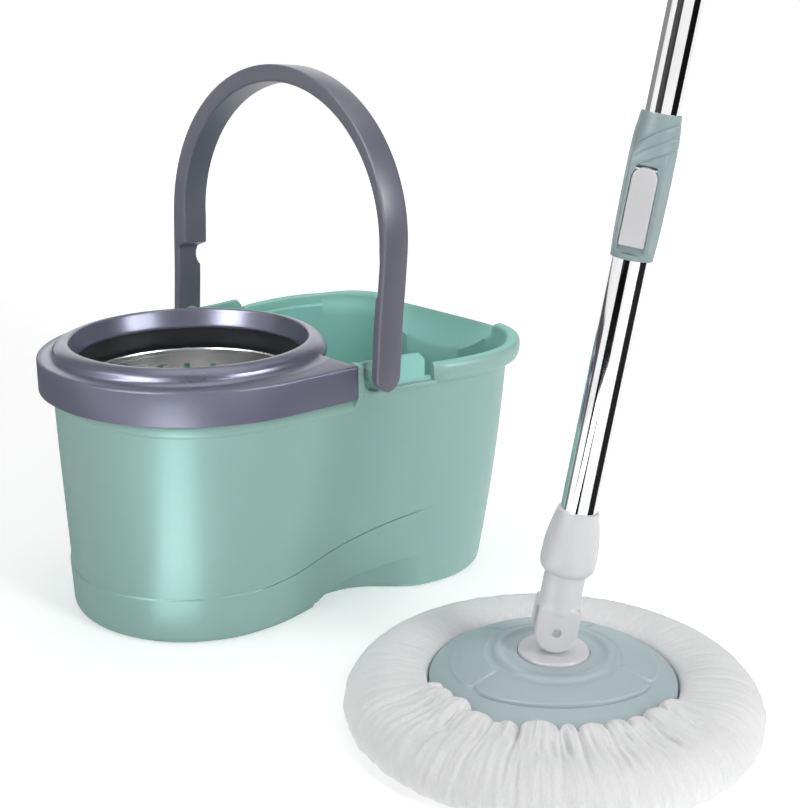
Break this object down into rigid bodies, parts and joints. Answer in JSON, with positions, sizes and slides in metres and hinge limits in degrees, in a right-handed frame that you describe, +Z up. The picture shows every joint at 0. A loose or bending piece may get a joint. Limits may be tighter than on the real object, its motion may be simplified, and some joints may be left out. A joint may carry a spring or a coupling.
{
  "type": "spin mop",
  "caption": "Spin mop set: two-lobed plastic bucket with perforated spin basket, swing bail and pouring lip, and a telescopic press-to-spin pole with tilting round microfibre head.",
  "frame": {"origin": "on the floor, under the axis of the spin basket", "axes": "+Z up along the basket axis, +X towards the pouring end of the bucket, +Y to the back, away from the mop"},
  "size_m": [0.44, 0.6973, 1.1172],
  "materials": {
    "tub_green": "satin injection-moulded polypropylene, mint green",
    "cover_plum": "semi-gloss moulded plastic, grey plum",
    "bail_grey": "satin moulded plastic, dark grey plum",
    "basket_steel": "brushed stainless sheet",
    "screw_steel": "zinc-plated steel",
    "white_plastic": "white moulded plastic",
    "disc_sage": "satin moulded plastic, pale grey green",
    "collar_sage": "matte moulded plastic, sage",
    "lever_grey": "light grey moulded plastic",
    "tube_chrome": "polished stainless tube",
    "nylon": "natural nylon",
    "nut_brass": "machined brass",
    "pad_rubber": "black rubber",
    "backing_fabric": "woven backing of the refill",
    "fibre_white": "white microfibre strands"
  },
  "bodies": {
    "bucket": {"tub": "tub_green", "wringer_cover": "cover_plum", "bail_pivots": "cover_plum", "spindle_post": "white_plastic", "post_screws": "screw_steel", "spindle_pin": "screw_steel", "thrust_washer": "nylon", "spindle_clip": "screw_steel"},
    "basket": {"spin_basket": "basket_steel", "basket_hub": "white_plastic", "hub_bush": "nylon", "hub_screws": "screw_steel"},
    "bail": {"bail_handle": "bail_grey"},
    "pole_lower": {"neck_yoke": "white_plastic", "hinge_pin": "screw_steel", "joint_sleeve": "white_plastic", "sleeve_screw": "screw_steel", "lower_tube": "tube_chrome", "rod_anchor": "nylon", "twisted_rod": "screw_steel", "lock_collar": "collar_sage", "lever_pin": "screw_steel", "clamp_pad": "pad_rubber"},
    "pole_upper": {"upper_tube": "tube_chrome", "clutch_housing": "nylon", "clutch_cap": "nylon", "clutch_rollers": "screw_steel", "top_grip": "collar_sage", "end_cap": "collar_sage"},
    "nut": {"drive_nut": "nut_brass"},
    "lever": {"lock_lever": "lever_grey"},
    "hub": {"swivel_hub": "white_plastic", "hub_washer": "screw_steel", "hub_bolt": "screw_steel"},
    "head": {"mop_disc": "disc_sage", "refill_band": "backing_fabric", "fibre_ring": "fibre_white"}
  },
  "joints": [
    {"name": "basket_spin", "type": "hinge", "parent": "bucket", "child": "basket", "pos_m": [0, 0, 0.128], "axis": [0, 0, 1], "continuous": true},
    {"name": "bail_swing", "type": "hinge", "parent": "bucket", "child": "bail", "pos_m": [0.096, 0, 0.222], "axis": [0, 1, 0], "range_deg": [-72, 68]},
    {"name": "mop_lift", "type": "slide", "parent": "bucket", "child": "pole_lower", "axis": [0, 0, 1], "range_m": [0, 0.35]},
    {"name": "neck_tilt", "type": "hinge", "parent": "pole_lower", "child": "hub", "pos_m": [0.0759, -0.3747, 0.0765], "axis": [0.6561, 0.7547, 0], "range_deg": [-70, 70]},
    {"name": "head_spin", "type": "hinge", "parent": "hub", "child": "head", "pos_m": [0.0759, -0.3747, 0.045], "axis": [0, 0, 1], "continuous": true},
    {"name": "pole_slide", "type": "slide", "parent": "pole_lower", "child": "pole_upper", "axis": [0.1181, -0.1026, 0.9877], "range_m": [-0.12, 0.08]},
    {"name": "nut_spin", "type": "hinge", "parent": "pole_upper", "child": "nut", "pos_m": [0.103, -0.39825, 0.30317], "axis": [0.1181, -0.1026, 0.9877], "range_deg": [-485, 325]},
    {"name": "lever_flip", "type": "hinge", "parent": "pole_lower", "child": "lever", "pos_m": [0.10324, -0.41901, 0.42248], "axis": [-0.5062, 0.8495, 0.1488], "range_deg": [0, 95]}
  ],
  "couplings": [
    {"joint": "nut_spin", "follows": "pole_slide", "rad_per_m": 69.813}
  ]
}
